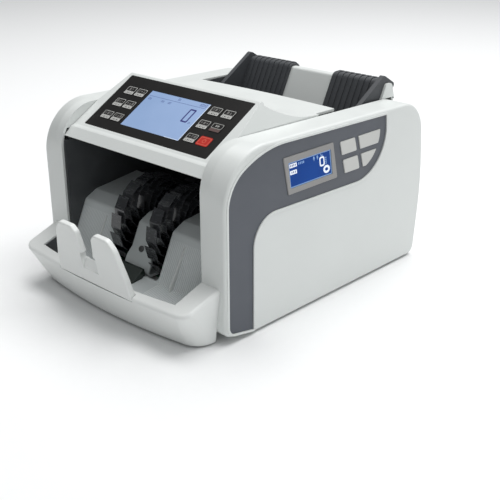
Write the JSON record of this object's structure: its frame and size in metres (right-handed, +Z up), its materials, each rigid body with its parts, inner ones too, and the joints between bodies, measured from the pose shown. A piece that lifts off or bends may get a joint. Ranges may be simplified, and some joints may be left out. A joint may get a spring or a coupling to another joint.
{
  "type": "banknote counting machine",
  "caption": "Desktop banknote counter with a tilted key and display panel, rear note hopper, bladed stacking wheels and a front delivery tray.",
  "frame": {"origin": "bottom centre of the whole machine, on the surface that its feet stand on", "axes": "+X to the operator's right, +Y from the operator to the back, +Z up"},
  "size_m": [0.25, 0.3402, 0.1939],
  "materials": {
    "housing_white": "fine satin moulding",
    "tray_white": "satin moulding",
    "band_grey": "satin moulding",
    "stacker_grey": "satin, finely ribbed",
    "inner_black": "black powder coat",
    "guide_black": "charcoal moulding",
    "wheel_black": "flexible black plastic",
    "membrane_black": "printed overlay",
    "key_black": "printed key with light outline",
    "key_red": "printed red key",
    "lcd_main": "light blue display",
    "lcd_side": "blue display",
    "frame_grey": "bezel",
    "button_grey": "light grey button",
    "steel": "turned steel",
    "roller_rubber": "ground rubber",
    "belt_rubber": "belt",
    "bush_brass": "sintered bronze",
    "motor_steel": "zinc plated can",
    "board_green": "circuit board",
    "socket_black": "moulded socket",
    "foot_rubber": "soft foot"
  },
  "bodies": {
    "housing": {"base_plate": "socket_black", "drive_belts": "belt_rubber", "drive_motor": "motor_steel", "front_tray": "tray_white", "left_band": "band_grey", "left_inner_frame": "inner_black", "left_shell": "housing_white", "lower_guide": "inner_black", "main_board": "board_green", "mains_inlet": "socket_black", "note_stop": "tray_white", "power_supply": "board_green", "rear_cover": "housing_white", "rear_port": "socket_black", "retard_roller": "roller_rubber", "right_band": "band_grey", "right_inner_frame": "inner_black", "right_shell": "housing_white", "rubber_feet": "foot_rubber", "screws": "steel", "shaft_bearings": "bush_brass", "side_display": "lcd_side", "side_display_frame": "frame_grey", "stacker_plate": "stacker_grey", "stacker_tongue": "stacker_grey", "switch_housing": "socket_black", "upper_guide": "inner_black"},
    "cover": {"top_cover": "housing_white", "panel_membrane": "membrane_black", "main_display": "lcd_main", "panel_board": "board_green", "cover_hinge_pins": "steel"},
    "fan": {"fan_shaft": "steel", "left_fan_wheel": "wheel_black", "right_fan_wheel": "wheel_black"},
    "feed": {"feed_shaft": "steel", "feed_rollers": "roller_rubber"},
    "pickup": {"pickup_shaft": "steel", "pickup_rollers": "roller_rubber"},
    "exit": {"exit_roller": "roller_rubber"},
    "motor_rotor": {"motor_pulley": "steel"},
    "right_guide": {"right_note_guide": "guide_black"},
    "left_guide": {"left_note_guide": "guide_black"},
    "switch_rocker": {"mains_switch": "socket_black"},
    "key_left_top_1_cap": {"key_left_top_1": "key_black"},
    "key_left_middle_1_cap": {"key_left_middle_1": "key_black"},
    "key_left_bottom_1_cap": {"key_left_bottom_1": "key_black"},
    "key_left_top_2_cap": {"key_left_top_2": "key_black"},
    "key_left_middle_2_cap": {"key_left_middle_2": "key_black"},
    "key_left_bottom_2_cap": {"key_left_bottom_2": "key_black"},
    "key_right_top_1_cap": {"key_right_top_1": "key_black"},
    "key_right_middle_1_cap": {"key_right_middle_1": "key_black"},
    "key_right_bottom_1_cap": {"key_right_bottom_1": "key_black"},
    "key_right_top_2_cap": {"key_right_top_2": "key_black"},
    "key_right_middle_2_cap": {"key_right_middle_2": "key_black"},
    "key_right_bottom_2_cap": {"key_right_bottom_2": "key_red"},
    "side_button_1_cap": {"side_button_1": "button_grey"},
    "side_button_2_cap": {"side_button_2": "button_grey"},
    "side_button_3_cap": {"side_button_3": "button_grey"},
    "side_button_4_cap": {"side_button_4": "button_grey"}
  },
  "joints": [
    {"name": "cover_hinge", "type": "hinge", "parent": "housing", "child": "cover", "pos_m": [0, -0.10671, 0.1483], "axis": [1, 0, 0], "range_deg": [0, 60]},
    {"name": "fan_spin", "type": "hinge", "parent": "housing", "child": "fan", "pos_m": [0, -0.06771, 0.064], "axis": [1, 0, 0], "continuous": true},
    {"name": "feed_spin", "type": "hinge", "parent": "housing", "child": "feed", "pos_m": [0, 0.08229, 0.068], "axis": [1, 0, 0], "continuous": true},
    {"name": "pickup_spin", "type": "hinge", "parent": "housing", "child": "pickup", "pos_m": [0, 0.10729, 0.093], "axis": [1, 0, 0], "continuous": true},
    {"name": "exit_spin", "type": "hinge", "parent": "housing", "child": "exit", "pos_m": [0, -0.00571, 0.08], "axis": [1, 0, 0], "continuous": true},
    {"name": "motor_rotor_spin", "type": "hinge", "parent": "housing", "child": "motor_rotor", "pos_m": [0, 0.03229, 0.04], "axis": [1, 0, 0], "continuous": true},
    {"name": "right_guide_slide", "type": "slide", "parent": "housing", "child": "right_guide", "axis": [-1, 0, 0], "range_m": [0, 0.027]},
    {"name": "left_guide_slide", "type": "slide", "parent": "housing", "child": "left_guide", "axis": [1, 0, 0], "range_m": [0, 0.027]},
    {"name": "switch_rock", "type": "hinge", "parent": "housing", "child": "switch_rocker", "pos_m": [0.036, 0.16089, 0.036], "axis": [0, 0, -1], "range_deg": [0, 16]},
    {"name": "key_left_top_1_press", "type": "slide", "parent": "cover", "child": "key_left_top_1_cap", "axis": [0, 0.511, -0.8596], "range_m": [0, 0.0004], "stiffness_N_per_m": 400},
    {"name": "key_left_middle_1_press", "type": "slide", "parent": "cover", "child": "key_left_middle_1_cap", "axis": [0, 0.511, -0.8596], "range_m": [0, 0.0004], "stiffness_N_per_m": 400},
    {"name": "key_left_bottom_1_press", "type": "slide", "parent": "cover", "child": "key_left_bottom_1_cap", "axis": [0, 0.511, -0.8596], "range_m": [0, 0.0004], "stiffness_N_per_m": 400},
    {"name": "key_left_top_2_press", "type": "slide", "parent": "cover", "child": "key_left_top_2_cap", "axis": [0, 0.511, -0.8596], "range_m": [0, 0.0004], "stiffness_N_per_m": 400},
    {"name": "key_left_middle_2_press", "type": "slide", "parent": "cover", "child": "key_left_middle_2_cap", "axis": [0, 0.511, -0.8596], "range_m": [0, 0.0004], "stiffness_N_per_m": 400},
    {"name": "key_left_bottom_2_press", "type": "slide", "parent": "cover", "child": "key_left_bottom_2_cap", "axis": [0, 0.511, -0.8596], "range_m": [0, 0.0004], "stiffness_N_per_m": 400},
    {"name": "key_right_top_1_press", "type": "slide", "parent": "cover", "child": "key_right_top_1_cap", "axis": [0, 0.511, -0.8596], "range_m": [0, 0.0004], "stiffness_N_per_m": 400},
    {"name": "key_right_middle_1_press", "type": "slide", "parent": "cover", "child": "key_right_middle_1_cap", "axis": [0, 0.511, -0.8596], "range_m": [0, 0.0004], "stiffness_N_per_m": 400},
    {"name": "key_right_bottom_1_press", "type": "slide", "parent": "cover", "child": "key_right_bottom_1_cap", "axis": [0, 0.511, -0.8596], "range_m": [0, 0.0004], "stiffness_N_per_m": 400},
    {"name": "key_right_top_2_press", "type": "slide", "parent": "cover", "child": "key_right_top_2_cap", "axis": [0, 0.511, -0.8596], "range_m": [0, 0.0004], "stiffness_N_per_m": 400},
    {"name": "key_right_middle_2_press", "type": "slide", "parent": "cover", "child": "key_right_middle_2_cap", "axis": [0, 0.511, -0.8596], "range_m": [0, 0.0004], "stiffness_N_per_m": 400},
    {"name": "key_right_bottom_2_press", "type": "slide", "parent": "cover", "child": "key_right_bottom_2_cap", "axis": [0, 0.511, -0.8596], "range_m": [0, 0.0004], "stiffness_N_per_m": 400},
    {"name": "side_button_1_press", "type": "slide", "parent": "housing", "child": "side_button_1_cap", "axis": [-1, 0, 0], "range_m": [0, 0.001], "stiffness_N_per_m": 300},
    {"name": "side_button_2_press", "type": "slide", "parent": "housing", "child": "side_button_2_cap", "axis": [-1, 0, 0], "range_m": [0, 0.001], "stiffness_N_per_m": 300},
    {"name": "side_button_3_press", "type": "slide", "parent": "housing", "child": "side_button_3_cap", "axis": [-1, 0, 0], "range_m": [0, 0.001], "stiffness_N_per_m": 300},
    {"name": "side_button_4_press", "type": "slide", "parent": "housing", "child": "side_button_4_cap", "axis": [-1, 0, 0], "range_m": [0, 0.001], "stiffness_N_per_m": 300}
  ],
  "couplings": [
    {"joint": "feed_spin", "follows": "fan_spin", "ratio": 1},
    {"joint": "pickup_spin", "follows": "fan_spin", "ratio": 1},
    {"joint": "exit_spin", "follows": "fan_spin", "ratio": 1},
    {"joint": "motor_rotor_spin", "follows": "fan_spin", "ratio": 1.75}
  ]
}
